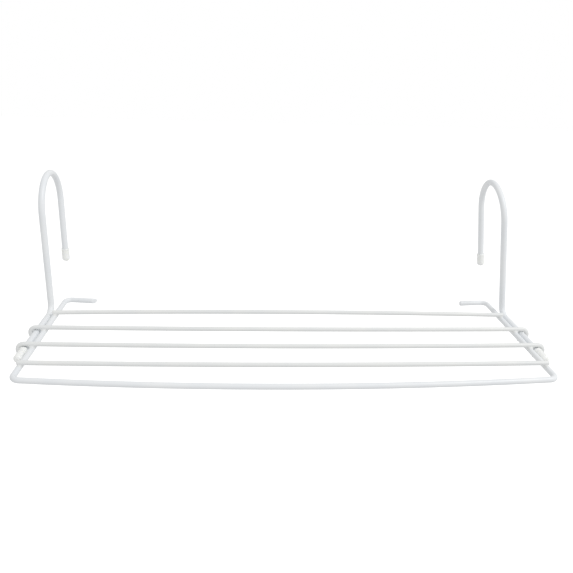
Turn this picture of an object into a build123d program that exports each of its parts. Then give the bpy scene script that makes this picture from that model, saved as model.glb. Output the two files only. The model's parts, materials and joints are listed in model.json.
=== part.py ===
from build123d import *
import os
from math import atan, cos, degrees, radians, sin, sqrt, tan

# A hook-over drying rack of coated steel wire. A U-shaped frame wire carries four cross wires,
# welded on top of its side rails. The ends of the two middle cross wires curl over into eyes, and
# each pair of eyes holds the straight length of one hook rod, which slides and turns in them.
#
# The sizes below are in millimetres, in the rack's own layout: x = 0 in the middle, y = 0 at the
# front corners of the frame wire and z = 0 at the middle of the frame wire. The finished parts are
# moved so that the origin is half-way between the tops of the two hooks, where the rail bears.

# Wire sizes, over the coating
FRAME_D = 5.6
CROSS_D = 4.6
ROD_D = 6.8

# Frame wire, along its centre line
WIDTH = 500.0           # over the side rails
RAIL_X = (WIDTH - FRAME_D) / 2
RAIL_LENGTH = 192.0     # front corner to tail
FRONT_CROWN = 12.9      # how far the front rail bows forward in the middle
FRONT_CORNER_R = 8.5
TAIL_IN = 33.0          # how far each tail reaches inward
TAIL_SKEW = 4.0         # how far its end comes forward
TAIL_CORNER_R = 7.0

# Cross wires, from the front to the rear
FIRST_CROSS_Y = 23.6
CROSS_PITCH = 39.4
CROSS_SAG = [2.1, 1.8, 1.1, -2.1]   # the rear one is arched upward
CROSS_END_X = WIDTH / 2 - 1.0       # where the two plain cross wires are cut off
BOW_X = RAIL_X - 8.0    # where the sag ends and the straight run over the rail begins
WELD_DEPTH = 0.3        # how far a weld sets a cross wire into the frame wire

# Hook rods and the eyes that hold them
ROD_OFFSET = 7.5        # between the centre lines of a rod and its side rail
EYE_CLEARANCE = 0.3
EYE_TURN = 210.0        # degrees of curl, over the rod and down round it
ROD_BEND_R = 11.0
LEG_Y = 158.5
CROWN_R = 37.0
CROWN_BASE_Z = 108.0    # where the leg runs into the crown
TIP_Z = 38.0            # lower end of the hook's tip
HOOK_LEAN = {"left": 0.0, "right": 7.0}   # degrees inward, as the hooks rest in their eyes

# Caps
CAP_D = 8.4
CAP_END_R = 3.4
CAP_MOUTH_R = 0.5
ROD_CAP_LENGTH = 20.0
ROD_CAP_GRIP = 16.0     # how far the rod goes into its cap
ROD_CAP_GAP = 0.3       # between a rod cap and the eye behind it
RUNNING_CLEARANCE = 0.05
END_PLAY = 0.1          # beyond the rod's end, inside its cap
TIP_CAP_LENGTH = 15.0
TIP_CAP_GRIP = 11.0     # how far the tip goes into its cap

# Worked out from the sizes above
CROSS_Z = (FRAME_D + CROSS_D) / 2 - WELD_DEPTH
EYE_R = (ROD_D + CROSS_D) / 2 + EYE_CLEARANCE
EYE_RISE = 0.1          # a sagging wire is about this much higher at its eyes than at the rails
ROD_X = RAIL_X + ROD_OFFSET
ROD_Z = CROSS_Z + EYE_RISE - EYE_R
CROSS_Y = [FIRST_CROSS_Y + CROSS_PITCH * i for i in range(len(CROSS_SAG))]
ROD_CAP_REAR_Y = CROSS_Y[1] - CROSS_D / 2 - ROD_CAP_GAP
ROD_FRONT_Y = ROD_CAP_REAR_Y - ROD_CAP_GRIP
ORIGIN = (0, LEG_Y + CROWN_R, CROWN_BASE_Z + CROWN_R - ROD_D / 2)


def round_wire(edges, diameter):
    """Round wire along a smooth chain of edges."""
    path = Wire(edges)
    section = Plane(origin=path @ 0, z_dir=path % 0) * Circle(diameter / 2)
    return sweep(section, path=path)


def arc_about(center, radius, start_angle, end_angle):
    """Arc in the plane y = center y, with its angles from +X towards +Z."""
    def point(angle):
        turn = radians(angle)
        return center + Vector(radius * cos(turn), 0, radius * sin(turn))
    return ThreePointArc(point(start_angle), point((start_angle + end_angle) / 2), point(end_angle))


def frame_wire():
    """The frame wire, bent from one length, as a front rail with its corners and two side rails.

    Each side rail ends in its tail. The three meet face to face where the front corners end.
    """
    crown_r = (RAIL_X**2 + FRONT_CROWN**2) / (2 * FRONT_CROWN)
    crown_center_y = crown_r - FRONT_CROWN
    corner_x = RAIL_X - FRONT_CORNER_R
    corner_y = crown_center_y - sqrt((crown_r - FRONT_CORNER_R) ** 2 - corner_x**2)
    corner = Vector(corner_x, corner_y)
    away = Vector(corner_x, corner_y - crown_center_y).normalized()
    front_end = corner + away * FRONT_CORNER_R
    rail_start = Vector(RAIL_X, corner_y)
    diagonal = (away + Vector(1, 0)).normalized()
    corner_mid = corner + diagonal * FRONT_CORNER_R
    right_corner = ThreePointArc(front_end, corner_mid, rail_start)
    bow = ThreePointArc((-front_end.X, front_end.Y), (0, -FRONT_CROWN), front_end)
    front = round_wire([right_corner.mirror(Plane.YZ), bow, right_corner], FRAME_D)
    tail_end = (RAIL_X - TAIL_IN, RAIL_LENGTH - TAIL_SKEW)
    rail = FilletPolyline(rail_start, (RAIL_X, RAIL_LENGTH), tail_end, radius=TAIL_CORNER_R)
    right = round_wire(list(rail.edges()), FRAME_D)
    return {
        "front_rail": front,
        "left_side_rail": right.mirror(Plane.YZ),
        "right_side_rail": right,
    }


def saddled(wire, y):
    """The cross wire, hollowed by its welds where it sits on the two side rails."""
    for x in (-RAIL_X, RAIL_X):
        wire -= Pos(x, y, 0) * Rot(90, 0, 0) * Cylinder(FRAME_D / 2, 2 * CROSS_D)
    return wire


def cross_wire(y, sag, has_eyes):
    """A bowed wire across the rails: straight over each rail, then cut off or curled into an eye."""
    slope = sag / (RAIL_X - BOW_X / 2)
    tilt = atan(slope)

    def over_rail(x):
        return Vector(x, y, CROSS_Z + slope * (x - RAIL_X))

    bow_end = over_rail(BOW_X)
    bow_middle = (0, y, bow_end.Z - BOW_X * tan(tilt / 2))
    bow = ThreePointArc((-bow_end.X, y, bow_end.Z), bow_middle, bow_end)
    if has_eyes:
        run_end = over_rail(ROD_X - EYE_R * sin(tilt))
        eye_center = run_end + Vector(sin(tilt), 0, -cos(tilt)) * EYE_R
        top = 90 + degrees(tilt)
        right = [Line(bow_end, run_end), arc_about(eye_center, EYE_R, top, top - EYE_TURN)]
    else:
        right = [Line(bow_end, over_rail(CROSS_END_X))]
    left = [edge.mirror(Plane.YZ) for edge in right]
    return saddled(round_wire(left + [bow] + right, CROSS_D), y)


def hook_rod():
    """The rod along the side rail, its bend, the leg, the crown and the tip, on the plane x = 0."""
    bend_y = LEG_Y - ROD_BEND_R
    tip_y = LEG_Y + 2 * CROWN_R
    bend_mid = (0, bend_y + ROD_BEND_R * sin(radians(45)), ROD_BEND_R * (1 - cos(radians(45))))
    leg_top = CROWN_BASE_Z - ROD_Z
    edges = [
        Line((0, ROD_FRONT_Y, 0), (0, bend_y, 0)),
        ThreePointArc((0, bend_y, 0), bend_mid, (0, LEG_Y, ROD_BEND_R)),
        Line((0, LEG_Y, ROD_BEND_R), (0, LEG_Y, leg_top)),
        ThreePointArc((0, LEG_Y, leg_top), (0, LEG_Y + CROWN_R, leg_top + CROWN_R), (0, tip_y, leg_top)),
        Line((0, tip_y, leg_top), (0, tip_y, TIP_Z - ROD_Z)),
    ]
    return round_wire(edges, ROD_D)


def cap(length, bore_r, bore_depth):
    """A moulded cap standing on its domed end, with its mouth up at z = length."""
    body = Pos(0, 0, length / 2) * Cylinder(CAP_D / 2, length)
    body = fillet(body.edges().group_by(Axis.Z)[0], CAP_END_R)
    body = fillet(body.edges().group_by(Axis.Z)[-1], CAP_MOUTH_R)
    bore = Pos(0, 0, length - bore_depth / 2) * Cylinder(bore_r, bore_depth)
    return body - bore


def rod_end_cap():
    """The cap on the rod's front end, which stops the rod at the front eye."""
    front_y = ROD_CAP_REAR_Y - ROD_CAP_LENGTH
    shape = cap(ROD_CAP_LENGTH, ROD_D / 2 + RUNNING_CLEARANCE, ROD_CAP_GRIP + END_PLAY)
    return Pos(0, front_y, 0) * Rot(-90, 0, 0) * shape


def tip_cap():
    """The cap on the hook's tip, tight on the wire."""
    mouth_z = TIP_Z - ROD_Z + TIP_CAP_GRIP
    shape = cap(TIP_CAP_LENGTH, ROD_D / 2, TIP_CAP_GRIP)
    return Pos(0, LEG_Y + 2 * CROWN_R, mouth_z - TIP_CAP_LENGTH) * shape


def on_side(shape, side, lean=0.0):
    """Puts a part made about the rod's axis on one side, leaning inward by some degrees."""
    placed = Pos(ROD_X, 0, ROD_Z) * Rot(0, -lean, 0) * shape
    return placed if side == "right" else placed.mirror(Plane.YZ)


def main():
    parts = frame_wire()
    names = ["cross_wire_front", "eyed_wire_front", "eyed_wire_rear", "cross_wire_rear"]
    for name, y, sag in zip(names, CROSS_Y, CROSS_SAG):
        parts[name] = cross_wire(y, sag, name.startswith("eyed"))
    for side in ("left", "right"):
        lean = HOOK_LEAN[side]
        parts[side + "_hook_rod"] = on_side(hook_rod(), side, lean)
        parts[side + "_hook_tip_cap"] = on_side(tip_cap(), side, lean)
        parts[side + "_rod_end_cap"] = on_side(rod_end_cap(), side)
    os.makedirs("parts", exist_ok=True)
    to_origin = Pos(*[-value for value in ORIGIN])
    for name, shape in parts.items():
        export_step(to_origin * shape, "parts/" + name + ".step")
        print(name, "volume", round(shape.volume), "solids", len(shape.solids()))


main()
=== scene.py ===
import json
import math

import bmesh
import bpy
from bpy.props import FloatProperty, FloatVectorProperty, PointerProperty
from mathutils import Matrix, Vector, noise


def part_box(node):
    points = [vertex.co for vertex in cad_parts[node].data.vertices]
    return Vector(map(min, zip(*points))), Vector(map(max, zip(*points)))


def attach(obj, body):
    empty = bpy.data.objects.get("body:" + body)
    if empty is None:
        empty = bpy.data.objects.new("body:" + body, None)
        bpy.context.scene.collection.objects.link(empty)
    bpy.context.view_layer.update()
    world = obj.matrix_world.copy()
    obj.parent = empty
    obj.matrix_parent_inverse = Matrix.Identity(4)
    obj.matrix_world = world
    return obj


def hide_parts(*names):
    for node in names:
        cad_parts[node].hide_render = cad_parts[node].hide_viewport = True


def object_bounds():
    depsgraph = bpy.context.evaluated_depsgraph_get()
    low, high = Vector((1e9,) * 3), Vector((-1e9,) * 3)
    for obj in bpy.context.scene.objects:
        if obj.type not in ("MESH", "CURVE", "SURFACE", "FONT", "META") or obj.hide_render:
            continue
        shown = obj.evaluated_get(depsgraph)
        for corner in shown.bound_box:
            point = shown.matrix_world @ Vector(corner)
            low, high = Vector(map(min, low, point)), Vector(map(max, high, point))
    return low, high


# A hook-over drying rack of steel wire in a white plastic coat, built as smooth meshes around its
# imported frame. Everything is in metres. +X runs along the cross wires, +Y runs back towards the
# rail that the rack hangs on, +Z is up, and the origin is half-way between the two hook crowns.

bl_info = {
    "name": "Hook-over Drying Rack",
    "version": (1, 0, 0),
    "blender": (4, 5, 0),
    "location": "View3D > Sidebar > Drying Rack",
    "description": "Builds a drying rack of white coated wire around its packed frame",
    "category": "Object",
}

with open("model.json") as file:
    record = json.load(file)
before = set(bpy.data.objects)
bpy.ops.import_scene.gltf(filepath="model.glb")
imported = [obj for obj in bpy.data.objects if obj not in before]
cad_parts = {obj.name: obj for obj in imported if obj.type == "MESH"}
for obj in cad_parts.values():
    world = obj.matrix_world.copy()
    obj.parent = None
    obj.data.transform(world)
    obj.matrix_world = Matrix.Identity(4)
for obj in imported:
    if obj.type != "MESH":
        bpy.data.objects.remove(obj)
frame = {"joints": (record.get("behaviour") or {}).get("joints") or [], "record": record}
CAD_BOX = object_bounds()

MM = 0.001
SIDES = ("left", "right")
BODY_OF = {
    node: body
    for body, nodes in frame["record"]["behaviour"]["bodies"].items()
    for node in nodes
}

# How finely the meshes are cut
WIRE_SIDES = 32         # round a wire
RUN_STEP = 2.0 * MM     # between rings on a straight run
BEND_STEP = math.radians(6)
END_STEPS = 6           # rings on a rounded wire end
CAP_SIDES = 96          # round a cap
DOME_STEPS = 10         # rings on a cap's domed end
WELD_SIDES = 64         # round a weld
WELD_STEPS = 6          # rings from the upper wire to the lower one

# Small shapes that all the pieces of a kind share
END_BEAD_BACK = 1.8 * MM    # from a wire's cut end to the middle of its bead
END_BEAD_WIDTH = 1.4 * MM
LONG_SWELL_MM = 14.0        # lengths of the unevenness in a coat
SHORT_SWELL_MM = 3.5
RIM_RAMP = 0.7 * MM         # where a cap's wall widens into the rim at its mouth
BORE_CHAMFER = 0.15 * MM

KEY_DIRECTION = Vector((0.75, -0.45, 1.0)).normalized()     # from the rack to the key light


# ---------------------------------------------------------------------------------------------
# Sizes and colours
# ---------------------------------------------------------------------------------------------


def linear(hex_colour):
    """Turns an sRGB hex colour such as #F4F6F8 into linear red, green and blue."""
    channels = [int(hex_colour[i : i + 2], 16) / 255 for i in (1, 3, 5)]
    return tuple(c / 12.92 if c <= 0.04045 else ((c + 0.055) / 1.055) ** 2.4 for c in channels)


def length(name, description, default_mm):
    """A size that a user may change, shown in the scene's own unit of length."""
    return FloatProperty(
        name=name,
        description=description,
        default=default_mm * MM,
        min=0.0,
        precision=5,
        subtype="DISTANCE",
        unit="LENGTH",
    )


def angle(name, description, default_degrees):
    """An angle that a user may change, shown in degrees."""
    return FloatProperty(
        name=name,
        description=description,
        default=math.radians(default_degrees),
        subtype="ANGLE",
        unit="ROTATION",
    )


def share(name, description, default):
    """A plain number from 0 to 1."""
    return FloatProperty(
        name=name, description=description, default=default, min=0.0, max=1.0, subtype="FACTOR"
    )


def colour(name, description, hex_colour):
    """A colour that a user may change."""
    return FloatVectorProperty(
        name=name,
        description=description,
        default=linear(hex_colour),
        size=3,
        min=0.0,
        max=1.0,
        subtype="COLOR",
    )


class RACK_PG_coat(bpy.types.PropertyGroup):
    """The plastic coat that all the wires have."""

    ripple: length("Ripple", "How far the coat's thickness wanders along a wire", 0.05)
    end_rounding: length("End rounding", "How the coat rounds a cut end of wire", 1.1)
    end_bead: length("End bead", "How much thicker the coat is just behind a cut end", 0.10)
    weld_depth: length("Weld depth", "How far a cross wire is set into the side rail", 0.3)
    weld_fillet: length("Weld fillet", "Radius of the coat that bridges two crossed wires", 1.8)
    frame_colour: colour("Frame coat", "Coat of the frame wire and the hooks", "#EEF0F2")
    cross_colour: colour("Cross wire coat", "Coat of the four cross wires", "#EBECEB")
    roughness: share("Roughness", "How dull the coat's surface is", 0.36)


class RACK_PG_frame_wire(bpy.types.PropertyGroup):
    """The frame wire's front rail, side rails and tails."""

    diameter: length("Wire", "Diameter over the coat", 5.6)
    front_margin: length("Front margin", "From the front corners to the front cross wire", 23.6)
    rear_margin: length("Rear margin", "From the rear cross wire to the tails", 50.2)
    front_bow: length("Front bow", "How far the front rail bows forward in the middle", 12.9)
    corner_radius: length("Corner radius", "Bend at each front corner", 8.5)
    tail_reach: length("Tail reach", "How far each tail reaches inward", 33.0)
    tail_skew: length("Tail skew", "How far a tail's end comes forward", 4.0)
    tail_radius: length("Tail bend radius", "Bend between a rail and its tail", 7.0)
    left_shear: angle("Left shear", "Slant of the cut on the left tail's end", 42)
    right_shear: angle("Right shear", "Slant of the cut on the right tail's end", -6)


class RACK_PG_cross_wires(bpy.types.PropertyGroup):
    """The four cross wires, and the eyes on the middle two."""

    diameter: length("Wire", "Diameter over the coat", 4.6)
    overhang: length("Overhang", "How far a plain wire runs past a rail's middle", 1.8)
    straight_run: length("Straight run", "Straight length before each rail", 8.0)
    eye_clearance: length("Eye clearance", "Gap between an eye and the rod in it", 0.3)
    eye_turn: angle("Eye turn", "How far an eye curls round its rod", 210)
    sag: FloatVectorProperty(
        name="Sag",
        description="How far each wire hangs in its middle, from front to rear",
        default=(2.1 * MM, 1.8 * MM, 1.1 * MM, -2.1 * MM),
        size=4,
        precision=5,
        unit="LENGTH",
    )


class RACK_PG_hooks(bpy.types.PropertyGroup):
    """The two hook rods."""

    diameter: length("Wire", "Diameter over the coat", 6.8)
    bend_radius: length("Bend radius", "Bend between the rod and the hook's leg", 11.0)
    left_lean: angle("Left lean", "How far the left hook leans inward at rest", 0)
    right_lean: angle("Right lean", "How far the right hook leans inward at rest", 7)


class RACK_PG_caps(bpy.types.PropertyGroup):
    """The moulded caps on the hook tips and on the rods' front ends."""

    diameter: length("Diameter", "Outer diameter", 8.4)
    dome_radius: length("Dome radius", "Rounding of the closed end", 3.4)
    mouth_bead: length("Mouth bead", "How far the rim at the mouth stands out", 0.16)
    mouth_bead_width: length("Mouth bead width", "Length of that rim", 1.8)
    lip_radius: length("Lip radius", "Rounding of the mouth's lip", 0.4)
    parting_line: length("Parting line", "Height of the line where the mould closed", 0.08)
    gate_radius: length("Gate mark radius", "Dimple where the plastic came in", 0.8)
    gate_depth: length("Gate mark depth", "Depth of that dimple", 0.15)
    tip_grip: length("Tip grip", "How far the hook's tip goes into its cap", 11.0)
    rod_grip: length("Rod grip", "How far the rod goes into its cap", 16.0)
    rod_clearance: length("Rod clearance", "Gap all round the rod in its cap", 0.2)
    end_play: length("End play", "Gap beyond the rod's end, inside its cap", 0.3)
    body_colour: colour("Cap plastic", "Milky polyethylene of the caps", "#FBFCFA")
    roughness: share("Roughness", "How dull the caps are", 0.30)


class RACK_PG_stage(bpy.types.PropertyGroup):
    """The floor, the lights and the camera."""

    floor_drop: length("Floor drop", "How far the floor lies below the rack", 450)
    floor_size: length("Floor size", "Width of the floor", 12000)
    floor_colour: colour("Floor", "Opal acrylic of the lit table", "#FAFAFA")
    floor_glow: FloatProperty(
        name="Floor glow",
        description="Strength of the light that comes up through the table",
        default=0.4,
        min=0.0,
    )
    surround: FloatProperty(
        name="Surround", description="Strength of the even light all round", default=0.72, min=0.0
    )
    key_power: FloatProperty(
        name="Key light",
        description="Power of the large soft light at the upper right",
        default=26.0,
        min=0.0,
        unit="POWER",
    )
    key_size: length("Key size", "Width of the large soft light", 1200)
    key_distance: length("Key distance", "From the rack to the large soft light", 2800)
    lens: FloatProperty(
        name="Lens",
        description="Focal length on a 36 mm sensor",
        default=40.84,
        min=1.0,
        unit="CAMERA",
    )
    camera_place: FloatVectorProperty(
        name="Camera place",
        description="Where the camera stands",
        default=(-0.0453, -0.7145, 0.1404),
        size=3,
        subtype="TRANSLATION",
        unit="LENGTH",
    )
    camera_pitch: angle("Camera pitch", "How far the camera looks down", 20.3)
    camera_yaw: angle("Camera yaw", "How far the camera looks to the right", 4.16)
    camera_roll: angle("Camera roll", "How far the camera's right side is raised", 1.93)


# ---------------------------------------------------------------------------------------------
# Materials
# ---------------------------------------------------------------------------------------------


def add_node(tree, kind, inputs=None, **settings):
    """Adds a node with its settings. An input is given a value, or another node's output."""
    made = tree.nodes.new(kind)
    for name, value in settings.items():
        setattr(made, name, value)
    for name, value in (inputs or {}).items():
        if isinstance(value, bpy.types.NodeSocket):
            tree.links.new(value, made.inputs[name])
        else:
            made.inputs[name].default_value = value
    return made


def new_material(name):
    """A material and its empty node tree, or no tree if the material has already been made."""
    made = bpy.data.materials.get(name)
    if made:
        return made, None
    made = bpy.data.materials.new(name)
    made.use_nodes = True
    made.node_tree.nodes.clear()
    return made, made.node_tree


def per_metre(size_mm):
    """A texture's scale for features of about this size, on coordinates in metres."""
    return 1 / (size_mm * MM)


def coated_wire(name, base, roughness):
    """Polyethylene melted on to steel wire in a fluidised bed of powder.

    The powder flows out into a smooth waxy skin. It keeps slow swells of about a centimetre and a
    shallow orange peel, so highlights along a wire wander a little and never break up. The skin
    is whiter where it is thicker, and carries faint dull rubs from being stacked.
    """
    material, tree = new_material(name)
    if tree is None:
        return material
    place = add_node(tree, "ShaderNodeTexCoord").outputs["Object"]
    # Thicker and thinner skin, a few centimetres at a time
    skin = add_node(
        tree, "ShaderNodeTexNoise", {"Vector": place, "Scale": per_metre(34), "Detail": 2.0}
    )
    thin = (base[0] * 0.965, base[1] * 0.975, base[2] * 0.985, 1.0)
    thick = (min(1, base[0] * 1.02), min(1, base[1] * 1.018), min(1, base[2] * 1.01), 1.0)
    tint = add_node(tree, "ShaderNodeValToRGB", {"Fac": skin.outputs["Fac"]})
    tint.color_ramp.elements[0].position = 0.30
    tint.color_ramp.elements[0].color = thin
    tint.color_ramp.elements[1].position = 0.70
    tint.color_ramp.elements[1].color = thick
    # Rubs of some millimetres
    rubs = add_node(
        tree,
        "ShaderNodeTexNoise",
        {"Vector": place, "Scale": per_metre(7), "Detail": 4.0, "Roughness": 0.6},
    )
    dullness = add_node(
        tree,
        "ShaderNodeMapRange",
        {
            "Value": rubs.outputs["Fac"],
            "From Min": 0.3,
            "From Max": 0.75,
            "To Min": roughness - 0.05,
            "To Max": roughness + 0.10,
        },
    )
    # Orange peel of 1.4 mm
    peel = add_node(
        tree, "ShaderNodeTexNoise", {"Vector": place, "Scale": per_metre(1.4), "Detail": 1.5}
    )
    bump = add_node(
        tree,
        "ShaderNodeBump",
        {"Height": peel.outputs["Fac"], "Strength": 0.35, "Distance": 0.04 * MM},
    )
    shader = add_node(
        tree,
        "ShaderNodeBsdfPrincipled",
        {
            "Base Color": tint.outputs["Color"],
            "Roughness": dullness.outputs["Result"],
            "Normal": bump.outputs["Normal"],
            "IOR": 1.51,
        },
    )
    add_node(tree, "ShaderNodeOutputMaterial", {"Surface": shader.outputs["BSDF"]})
    return material


def moulded_cap(name, base, roughness):
    """Low-density polyethylene, injection moulded without any pigment to speak of.

    It is milky: light goes a little way into its thin wall, so the caps look brighter and softer
    than the wire. The tool's spark-eroded cavity leaves a fine even grain on them.
    """
    material, tree = new_material(name)
    if tree is None:
        return material
    place = add_node(tree, "ShaderNodeTexCoord").outputs["Object"]
    # Clouds in the plastic where it flowed
    flow = add_node(
        tree,
        "ShaderNodeTexNoise",
        {"Vector": place, "Scale": per_metre(5), "Detail": 3.0, "Distortion": 0.8},
    )
    tint = add_node(tree, "ShaderNodeValToRGB", {"Fac": flow.outputs["Fac"]})
    tint.color_ramp.elements[0].position = 0.35
    tint.color_ramp.elements[0].color = (base[0] * 0.98, base[1] * 0.985, base[2] * 0.97, 1.0)
    tint.color_ramp.elements[1].position = 0.65
    tint.color_ramp.elements[1].color = (*base, 1.0)
    # Cavity grain, drawn at 0.5 mm because the real 0.05 mm is too fine to show
    grain = add_node(
        tree, "ShaderNodeTexNoise", {"Vector": place, "Scale": per_metre(0.5), "Detail": 2.0}
    )
    bump = add_node(
        tree,
        "ShaderNodeBump",
        {"Height": grain.outputs["Fac"], "Strength": 0.2, "Distance": 0.02 * MM},
    )
    dullness = add_node(
        tree,
        "ShaderNodeMapRange",
        {
            "Value": grain.outputs["Fac"],
            "To Min": roughness - 0.04,
            "To Max": roughness + 0.08,
        },
    )
    shader = add_node(
        tree,
        "ShaderNodeBsdfPrincipled",
        {
            "Base Color": tint.outputs["Color"],
            "Roughness": dullness.outputs["Result"],
            "Normal": bump.outputs["Normal"],
            "IOR": 1.51,
            "Subsurface Weight": 0.3,
            "Subsurface Radius": (1.0, 1.0, 0.95),
            "Subsurface Scale": 0.4 * MM,
        },
    )
    add_node(tree, "ShaderNodeOutputMaterial", {"Surface": shader.outputs["BSDF"]})
    return material


def lit_acrylic(name, base, glow):
    """Opal cast acrylic of a studio table, lit from below so that it shows plain white.

    Its satin side is up: sanded to a fine tooth, it has no reflections.
    """
    material, tree = new_material(name)
    if tree is None:
        return material
    place = add_node(tree, "ShaderNodeTexCoord").outputs["Object"]
    tooth = add_node(
        tree, "ShaderNodeTexNoise", {"Vector": place, "Scale": per_metre(2), "Detail": 3.0}
    )
    bump = add_node(
        tree,
        "ShaderNodeBump",
        {"Height": tooth.outputs["Fac"], "Strength": 0.1, "Distance": 0.05 * MM},
    )
    shader = add_node(
        tree,
        "ShaderNodeBsdfPrincipled",
        {
            "Base Color": (*base, 1.0),
            "Roughness": 0.9,
            "Specular IOR Level": 0.1,
            "Normal": bump.outputs["Normal"],
            "Emission Color": (1.0, 1.0, 1.0, 1.0),
            "Emission Strength": glow,
        },
    )
    add_node(tree, "ShaderNodeOutputMaterial", {"Surface": shader.outputs["BSDF"]})
    return material


# ---------------------------------------------------------------------------------------------
# Meshes
# ---------------------------------------------------------------------------------------------


class WireLine:
    """A wire's centre line in one plane, made of straight runs and of bends tangent to them."""

    def __init__(self, start, heading=0.0):
        self.points = [Vector(start)]
        self.headings = [heading]

    def run(self, distance):
        """Goes straight on."""
        start, heading = self.points[-1], self.headings[-1]
        ahead = Vector((math.cos(heading), math.sin(heading)))
        steps = max(1, math.ceil(distance / RUN_STEP))
        for i in range(1, steps + 1):
            self.points.append(start + ahead * (distance * i / steps))
            self.headings.append(heading)
        return self

    def bend(self, radius, turn):
        """Turns left by an angle, or right where the angle is negative."""
        start, heading = self.points[-1], self.headings[-1]
        out = math.copysign(radius, turn)
        centre = start + out * Vector((-math.sin(heading), math.cos(heading)))
        steps = math.ceil(max(abs(turn) / BEND_STEP, radius * abs(turn) / RUN_STEP, 1))
        for i in range(1, steps + 1):
            now = heading + turn * i / steps
            self.points.append(centre + out * Vector((math.sin(now), -math.cos(now))))
            self.headings.append(now)
        return self

    def with_mirror_half(self):
        """Adds the mirror image that comes before the start, for a line that starts mid-way."""
        before = [Vector((-p.x, p.y)) for p in reversed(self.points[1:])]
        self.points = before + self.points
        self.headings = [-h for h in reversed(self.headings[1:])] + self.headings
        return self

    def stations(self, rounding):
        """(point, heading, distance to the nearer end) of each ring, closer at rounded ends."""
        along = [0.0]
        for a, b in zip(self.points, self.points[1:]):
            along.append(along[-1] + (b - a).length)
        total = along[-1]
        quarter = [i * math.pi / 2 / END_STEPS for i in range(END_STEPS + 1)]
        near = [rounding * (1 - math.cos(t)) for t in quarter]
        middle = [s for s in along if rounding * 1.2 < s < total - rounding * 1.2]
        wanted = near + middle + [total - d for d in reversed(near)]
        found, k = [], 0
        for s in wanted:
            while k < len(along) - 2 and along[k + 1] < s:
                k += 1
            t = (s - along[k]) / (along[k + 1] - along[k])
            point = self.points[k].lerp(self.points[k + 1], t)
            heading = self.headings[k] + (self.headings[k + 1] - self.headings[k]) * t
            found.append((point, heading, min(s, total - s)))
        return found


def skin(bm, rings, first_pole, last_pole, sharp_ends=False):
    """A closed surface through rings of points, drawn to a point at each end."""
    loops = [[bm.verts.new(p) for p in ring] for ring in rings]
    count = len(loops[0])
    for a, b in zip(loops, loops[1:]):
        for i in range(count):
            j = (i + 1) % count
            bm.faces.new((a[i], a[j], b[j], b[i]))
    for place, loop in ((first_pole, loops[0]), (last_pole, loops[-1])):
        pole = bm.verts.new(place)
        for i in range(count):
            bm.faces.new((loop[i], loop[(i + 1) % count], pole))
    if sharp_ends:
        for loop in (loops[0], loops[-1]):
            for i in range(count):
                bm.edges.get((loop[i], loop[(i + 1) % count])).smooth = False


def swell(point):
    """The coat's slow swells and finer unevenness at a point, from about -1 to 1."""
    slow = noise.noise(point * per_metre(LONG_SWELL_MM))
    quick = noise.noise(point * per_metre(SHORT_SWELL_MM))
    return 0.8 * slow + 0.2 * quick


def add_wire(bm, line, origin, across, up, radius, coat, shears=(0.0, 0.0)):
    """A coated wire along a line, in the plane through origin whose axes are across and up.

    shears are the slants of the cuts at its two ends, each turned towards the plane's up axis.
    """
    normal = across.cross(up)
    rings = []
    stations = line.stations(coat.end_rounding)
    for number, (point, heading, to_end) in enumerate(stations):
        first_half = number < len(stations) / 2
        ahead = across * math.cos(heading) + up * math.sin(heading)
        left = up * math.cos(heading) - across * math.sin(heading)
        lost = 0.0
        if to_end < coat.end_rounding:
            inset = coat.end_rounding - to_end
            lost = coat.end_rounding - math.sqrt(max(0.0, coat.end_rounding**2 - inset**2))
        bead = coat.end_bead * math.exp(-(((to_end - END_BEAD_BACK) / END_BEAD_WIDTH) ** 2))
        slant = math.tan(shears[0] if first_half else shears[1])
        slant *= max(0.0, 1 - to_end / (2 * radius)) * (-1 if first_half else 1)
        centre = origin + across * point.x + up * point.y
        ring = []
        for i in range(WIRE_SIDES):
            turn = 2 * math.pi * i / WIRE_SIDES
            outward = normal * math.cos(turn) + left * math.sin(turn)
            reach = radius - lost + bead
            reach += coat.ripple * swell(centre + outward * radius)
            spot = centre + outward * reach
            ring.append(spot + ahead * (slant * (spot - centre).dot(up)))
        rings.append(ring)
    ends = [origin + across * p.x + up * p.y for p in (stations[0][0], stations[-1][0])]
    skin(bm, rings, ends[0], ends[1])


def add_weld(bm, contact, upper_r, lower_r, coat, reach_out):
    """The coat that bridges an upper wire along X and a lower wire along Y where they cross.

    A ball of the fillet's radius rolls round the crossing and touches both wires. reach_out is
    how far the coat may spread outward from the rail, past which the upper wire has ended.
    """
    ball = coat.weld_fillet
    upper_z = upper_r - coat.weld_depth / 2
    lower_z = coat.weld_depth / 2 - lower_r
    outward = math.copysign(1, contact.x)
    spread = math.sqrt((lower_r + ball) ** 2 - (lower_r - coat.weld_depth - ball) ** 2)
    squeeze = min(1.0, reach_out / spread)
    rings = [[] for _ in range(WELD_STEPS + 1)]
    for i in range(WELD_SIDES):
        turn = 2 * math.pi * i / WELD_SIDES
        z = -(ball + coat.weld_depth / 2) * math.cos(2 * turn)
        y = math.sqrt(max(0.0, (upper_r + ball) ** 2 - (z - upper_z) ** 2))
        x = math.sqrt(max(0.0, (lower_r + ball) ** 2 - (z - lower_z) ** 2))
        centre = Vector((math.copysign(x, math.cos(turn)), math.copysign(y, math.sin(turn)), z))
        to_upper = Vector((0, -centre.y, upper_z - z)).normalized()
        to_lower = Vector((-centre.x, 0, lower_z - z)).normalized()
        for step, ring in enumerate(rings):
            spot = centre + ball * to_upper.slerp(to_lower, step / WELD_STEPS)
            if spot.x * outward > 0:
                spot.x *= squeeze
            ring.append(contact + spot)
    inner = 0.5 * min(upper_r, lower_r)
    skin(bm, rings, contact + Vector((0, 0, inner)), contact - Vector((0, 0, inner)), True)


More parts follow.
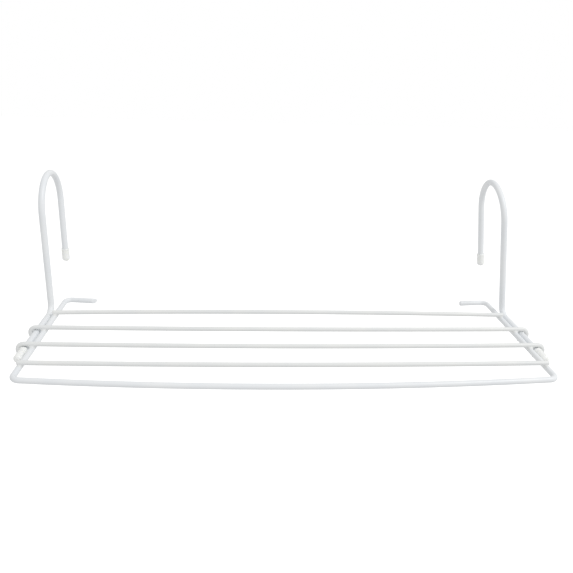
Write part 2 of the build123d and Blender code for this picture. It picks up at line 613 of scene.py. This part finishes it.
def cap_profile(caps, cap_length, bore_r, bore_depth):
    """(height, radius) of a cap's turned outline, from its closed end to the bore's bottom."""
    outer = caps.diameter / 2
    flat = outer - caps.dome_radius
    profile = [(caps.gate_depth, 0.6 * caps.gate_radius), (0.0, caps.gate_radius)]
    for i in range(1, DOME_STEPS + 1):
        t = math.pi / 2 * i / DOME_STEPS
        height = caps.dome_radius * (1 - math.cos(t))
        profile.append((height, flat + caps.dome_radius * math.sin(t)))
    bead_start = cap_length - caps.mouth_bead_width
    for i in range(1, 5):
        profile.append((caps.dome_radius + (bead_start - caps.dome_radius) * i / 4, outer))
    rim = outer + caps.mouth_bead
    profile.append((bead_start + RIM_RAMP / 2, outer + 0.75 * caps.mouth_bead))
    profile.append((bead_start + RIM_RAMP, rim))
    lip = caps.lip_radius
    for i in range(5):
        t = math.pi / 2 * i / 4
        profile.append((cap_length - lip * (1 - math.sin(t)), rim - lip * (1 - math.cos(t))))
    profile.append((cap_length, bore_r + BORE_CHAMFER))
    profile.append((cap_length - BORE_CHAMFER, bore_r))
    profile.append((cap_length - bore_depth, bore_r))
    return profile


def add_cap(bm, caps, matrix, cap_length, bore_r, bore_depth):
    """A moulded cap standing on its closed end at the matrix's origin, with its mouth up."""
    profile = cap_profile(caps, cap_length, bore_r, bore_depth)
    seams = (0, CAP_SIDES // 2)
    rings = []
    for height, radius in profile:
        ring = []
        for i in range(CAP_SIDES):
            turn = 2 * math.pi * i / CAP_SIDES
            outside = radius > caps.gate_radius and radius > bore_r
            reach = radius + (caps.parting_line if outside and i in seams else 0.0)
            ring.append(matrix @ Vector((reach * math.cos(turn), reach * math.sin(turn), height)))
        rings.append(ring)
    first = matrix @ Vector((0, 0, caps.gate_depth))
    last = matrix @ Vector((0, 0, cap_length - bore_depth))
    skin(bm, rings, first, last)


def make_piece(name, bm, nodes, material):
    """Turns a mesh under construction into the piece that stands for some CAD nodes of one body."""
    if not bm.faces:
        raise RuntimeError(name + " has no faces, so one of its sizes must be wrong")
    bmesh.ops.recalc_face_normals(bm, faces=bm.faces)
    mesh = bpy.data.meshes.new(name)
    bm.to_mesh(mesh)
    bm.free()
    mesh.shade_smooth()
    mesh.materials.append(material)
    piece = bpy.data.objects.new(name, mesh)
    bpy.context.scene.collection.objects.link(piece)
    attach(piece, BODY_OF[nodes[0]])
    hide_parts(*nodes)
    return piece


# ---------------------------------------------------------------------------------------------
# Places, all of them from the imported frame
# ---------------------------------------------------------------------------------------------

FRAME_NODES = ("front_rail", "left_side_rail", "right_side_rail")
CROSS_NODES = ("cross_wire_front", "eyed_wire_front", "eyed_wire_rear", "cross_wire_rear")
X_AXIS = Vector((1, 0, 0))
Y_AXIS = Vector((0, 1, 0))
Z_AXIS = Vector((0, 0, 1))


def middle(node):
    """Middle of a CAD node's box."""
    low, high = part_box(node)
    return (low + high) / 2


def rod_axis(side):
    """A point on the axis that a hook turns about."""
    hinge = next(j for j in frame["joints"] if j["name"] == side + "_hook_turn")
    return Vector(hinge["pos_m"])


def rail_x(wire):
    """How far the side rails' centre lines are from the middle."""
    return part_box("front_rail")[1].x - wire.diameter / 2


def lean_matrix(hooks, side):
    """Leans an upright hook inward about its rod, as it rests."""
    axis = rod_axis(side)
    lean = hooks.left_lean if side == "left" else -hooks.right_lean
    return Matrix.Translation(axis) @ Matrix.Rotation(lean, 4, "Y") @ Matrix.Translation(-axis)


# ---------------------------------------------------------------------------------------------
# Operators
# ---------------------------------------------------------------------------------------------


class RACK_OT_frame_wire(bpy.types.Operator):
    """Bend the frame wire: front rail, side rails and tails from one length"""

    bl_idname = "rack.frame_wire"
    bl_label = "Frame Wire"
    bl_options = {"REGISTER", "UNDO"}

    def execute(self, context):
        wire, coat = context.scene.rack_frame_wire, context.scene.rack_coat
        half = rail_x(wire)
        front_y = middle(CROSS_NODES[0]).y - wire.front_margin
        tail_y = middle(CROSS_NODES[-1]).y + wire.rear_margin
        crown_r = (half**2 + wire.front_bow**2) / (2 * wire.front_bow)
        sweep = math.asin((half - wire.corner_radius) / (crown_r - wire.corner_radius))
        turn = math.pi / 2 + math.atan(wire.tail_skew / wire.tail_reach)
        tangent = wire.tail_radius * math.tan(turn / 2)
        line = WireLine((0, front_y - wire.front_bow))
        line.bend(crown_r, sweep)
        line.bend(wire.corner_radius, math.pi / 2 - sweep)
        line.run(tail_y - tangent - line.points[-1].y)
        line.bend(wire.tail_radius, turn)
        line.run(math.hypot(wire.tail_reach, wire.tail_skew) - tangent)
        line.with_mirror_half()
        bm = bmesh.new()
        origin = Vector((0, 0, middle("front_rail").z))
        shears = (wire.left_shear, wire.right_shear)
        add_wire(bm, line, origin, X_AXIS, Y_AXIS, wire.diameter / 2, coat, shears)
        material = coated_wire("polyethylene_coated_steel", coat.frame_colour, coat.roughness)
        make_piece("coated_frame_wire", bm, FRAME_NODES, material)
        return {"FINISHED"}


class RACK_OT_cross_wires(bpy.types.Operator):
    """Weld the four cross wires on the side rails, the middle two with an eye at each end"""

    bl_idname = "rack.cross_wires"
    bl_label = "Cross Wires"
    bl_options = {"REGISTER", "UNDO"}

    def execute(self, context):
        scene = context.scene
        cross, coat = scene.rack_cross_wires, scene.rack_coat
        rail, hooks = scene.rack_frame_wire, scene.rack_hooks
        half = rail_x(rail)
        rail_z = middle("front_rail").z
        over_z = rail_z + (rail.diameter + cross.diameter) / 2 - coat.weld_depth
        contact_z = rail_z + (rail.diameter - coat.weld_depth) / 2
        eye_r = (hooks.diameter + cross.diameter) / 2 + cross.eye_clearance
        bow_x = half - cross.straight_run
        material = coated_wire("polyethylene_coated_thin_steel", coat.cross_colour, coat.roughness)
        for node, sag in zip(CROSS_NODES, cross.sag):
            slope = sag / (half - bow_x / 2)
            tilt = math.atan(slope)
            bow_end_z = over_z - slope * cross.straight_run
            line = WireLine((0, bow_end_z - bow_x * math.tan(tilt / 2)))
            line.bend(bow_x / math.sin(abs(tilt)), tilt)
            if node.startswith("eyed"):
                run_end = rod_axis("right").x - eye_r * math.sin(tilt)
                line.run((run_end - bow_x) / math.cos(tilt))
                line.bend(eye_r, -cross.eye_turn)
                reach_out = run_end - half
            else:
                line.run((half + cross.overhang - bow_x) / math.cos(tilt))
                reach_out = cross.overhang - 0.4 * coat.end_rounding
            line.with_mirror_half()
            bm = bmesh.new()
            y = middle(node).y
            add_wire(bm, line, Vector((0, y, 0)), X_AXIS, Z_AXIS, cross.diameter / 2, coat)
            for x in (-half, half):
                contact = Vector((x, y, contact_z))
                add_weld(bm, contact, cross.diameter / 2, rail.diameter / 2, coat, reach_out)
            make_piece("coated_" + node, bm, [node], material)
        return {"FINISHED"}


class RACK_OT_hook_rods(bpy.types.Operator):
    """Bend the two hook rods: straight length, leg, crown and tip"""

    bl_idname = "rack.hook_rods"
    bl_label = "Hook Rods"
    bl_options = {"REGISTER", "UNDO"}

    def execute(self, context):
        scene = context.scene
        hooks, coat, caps = scene.rack_hooks, scene.rack_coat, scene.rack_caps
        low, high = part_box("left_hook_rod")
        crown_r = high.y - hooks.diameter / 2
        crown_z = hooks.diameter / 2 - crown_r
        tip_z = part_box("left_hook_tip_cap")[1].z - caps.tip_grip
        material = coated_wire("polyethylene_coated_steel", coat.frame_colour, coat.roughness)
        for side in SIDES:
            axis = rod_axis(side)
            line = WireLine((low.y, axis.z))
            line.run(-crown_r - hooks.bend_radius - low.y)
            line.bend(hooks.bend_radius, math.pi / 2)
            line.run(crown_z - axis.z - hooks.bend_radius)
            line.bend(crown_r, -math.pi)
            line.run(crown_z - tip_z)
            bm = bmesh.new()
            add_wire(bm, line, Vector((axis.x, 0, 0)), Y_AXIS, Z_AXIS, hooks.diameter / 2, coat)
            bm.transform(lean_matrix(hooks, side))
            node = side + "_hook_rod"
            make_piece("coated_" + node, bm, [node], material)
        return {"FINISHED"}


class RACK_OT_caps(bpy.types.Operator):
    """Mould the caps for the hooks' tips and for the rods' front ends"""

    bl_idname = "rack.caps"
    bl_label = "Caps"
    bl_options = {"REGISTER", "UNDO"}

    def execute(self, context):
        hooks, caps = context.scene.rack_hooks, context.scene.rack_caps
        rod_r = hooks.diameter / 2
        material = moulded_cap("moulded_low_density_polyethylene", caps.body_colour, caps.roughness)
        tip_low, tip_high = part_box("left_hook_tip_cap")
        for side in SIDES:
            axis = rod_axis(side)
            tip_y = middle(side + "_hook_tip_cap").y
            upright = Matrix.Translation((axis.x, tip_y, tip_low.z))
            bm = bmesh.new()
            place = lean_matrix(hooks, side) @ upright
            add_cap(bm, caps, place, tip_high.z - tip_low.z, rod_r, caps.tip_grip)
            node = side + "_hook_tip_cap"
            make_piece("moulded_" + node, bm, [node], material)
            low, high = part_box(side + "_rod_end_cap")
            lying = Matrix.Translation((axis.x, low.y, axis.z))
            lying @= Matrix.Rotation(-math.pi / 2, 4, "X")
            bm = bmesh.new()
            bore_r, bore_depth = rod_r + caps.rod_clearance, caps.rod_grip + caps.end_play
            add_cap(bm, caps, lying, high.y - low.y, bore_r, bore_depth)
            node = side + "_rod_end_cap"
            make_piece("moulded_" + node, bm, [node], material)
        return {"FINISHED"}


class RACK_OT_stage(bpy.types.Operator):
    """Set the pale floor, the even surround, the soft light and the camera"""

    bl_idname = "rack.stage"
    bl_label = "Stage"
    bl_options = {"REGISTER", "UNDO"}

    def execute(self, context):
        scene = context.scene
        stage = scene.rack_stage
        scene.view_settings.view_transform = "Standard"
        self.add_floor(scene, stage)
        self.add_surround(scene, stage)
        self.add_key_light(scene, stage)
        self.add_camera(scene, stage)
        return {"FINISHED"}

    def add_floor(self, scene, stage):
        """A lit table top, well below the rack, that only the camera sees."""
        bm = bmesh.new()
        bmesh.ops.create_grid(bm, x_segments=4, y_segments=4, size=stage.floor_size / 2)
        mesh = bpy.data.meshes.new("floor")
        bm.to_mesh(mesh)
        bm.free()
        glow = stage.floor_glow
        mesh.materials.append(lit_acrylic("lit_opal_acrylic", stage.floor_colour, glow))
        floor = bpy.data.objects.new("floor", mesh)
        floor.location.z = CAD_BOX[0].z - stage.floor_drop
        floor.visible_diffuse = False
        floor.visible_glossy = False
        scene.collection.objects.link(floor)

    def add_surround(self, scene, stage):
        """Even light from all round, in front of a plain white background."""
        world = bpy.data.worlds.new("studio")
        world.use_nodes = True
        tree = world.node_tree
        tree.nodes.clear()
        light = add_node(
            tree, "ShaderNodeBackground", {"Color": (1, 1, 1, 1), "Strength": stage.surround}
        )
        behind = add_node(tree, "ShaderNodeBackground", {"Color": (1, 1, 1, 1), "Strength": 1.0})
        seen = add_node(tree, "ShaderNodeLightPath").outputs["Is Camera Ray"]
        both = add_node(tree, "ShaderNodeMixShader", {"Fac": seen})
        tree.links.new(light.outputs["Background"], both.inputs[1])
        tree.links.new(behind.outputs["Background"], both.inputs[2])
        add_node(tree, "ShaderNodeOutputWorld", {"Surface": both.outputs["Shader"]})
        scene.world = world

    def add_key_light(self, scene, stage):
        """A large softbox at the upper right, in front of the rack."""
        light = bpy.data.lights.new("key", "AREA")
        light.shape = "SQUARE"
        light.size = stage.key_size
        light.energy = stage.key_power
        key = bpy.data.objects.new("key", light)
        middle_of_rack = (CAD_BOX[0] + CAD_BOX[1]) / 2
        key.location = middle_of_rack + KEY_DIRECTION * stage.key_distance
        key.rotation_euler = KEY_DIRECTION.to_track_quat("Z", "Y").to_euler()
        key.visible_camera = False
        scene.collection.objects.link(key)

    def add_camera(self, scene, stage):
        """A camera in front of the rack and above it, with everything in focus."""
        data = bpy.data.cameras.new("camera")
        data.lens = stage.lens
        data.sensor_width = 36.0
        data.dof.use_dof = False
        camera = bpy.data.objects.new("camera", data)
        level = Matrix.Rotation(math.pi / 2, 4, "X")
        down = Matrix.Rotation(-stage.camera_pitch, 4, "X")
        round_up = Matrix.Rotation(-stage.camera_yaw, 4, "Z")
        tilt = Matrix.Rotation(stage.camera_roll, 4, "Z")
        place = Matrix.Translation(stage.camera_place)
        camera.matrix_world = place @ round_up @ down @ level @ tilt
        scene.collection.objects.link(camera)
        scene.camera = camera


class RACK_PT_sidebar(bpy.types.Panel):
    """Sizes, colours and operators of the drying rack"""

    bl_idname = "RACK_PT_sidebar"
    bl_label = "Drying Rack"
    bl_space_type = "VIEW_3D"
    bl_region_type = "UI"
    bl_category = "Drying Rack"

    def draw(self, context):
        for group, operator in GROUPS:
            box = self.layout.box()
            settings = getattr(context.scene, group)
            for name in settings.__annotations__:
                box.prop(settings, name)
            if operator:
                box.operator(operator)


# ---------------------------------------------------------------------------------------------
# Registration
# ---------------------------------------------------------------------------------------------

# Each group of settings on the scene, with the operator that uses it
GROUPS = (
    ("rack_coat", None),
    ("rack_frame_wire", "rack.frame_wire"),
    ("rack_cross_wires", "rack.cross_wires"),
    ("rack_hooks", "rack.hook_rods"),
    ("rack_caps", "rack.caps"),
    ("rack_stage", "rack.stage"),
)
GROUP_CLASSES = (
    RACK_PG_coat,
    RACK_PG_frame_wire,
    RACK_PG_cross_wires,
    RACK_PG_hooks,
    RACK_PG_caps,
    RACK_PG_stage,
)
CLASSES = GROUP_CLASSES + (
    RACK_OT_frame_wire,
    RACK_OT_cross_wires,
    RACK_OT_hook_rods,
    RACK_OT_caps,
    RACK_OT_stage,
    RACK_PT_sidebar,
)


def register():
    for cls in CLASSES:
        bpy.utils.register_class(cls)
    for (group, _), cls in zip(GROUPS, GROUP_CLASSES):
        setattr(bpy.types.Scene, group, PointerProperty(type=cls))


def unregister():
    for group, _ in GROUPS:
        delattr(bpy.types.Scene, group)
    for cls in reversed(CLASSES):
        bpy.utils.unregister_class(cls)


def main():
    register()
    bpy.ops.rack.stage()
    bpy.ops.rack.frame_wire()
    bpy.ops.rack.cross_wires()
    bpy.ops.rack.hook_rods()
    bpy.ops.rack.caps()


if __name__ == "__main__":
    main()
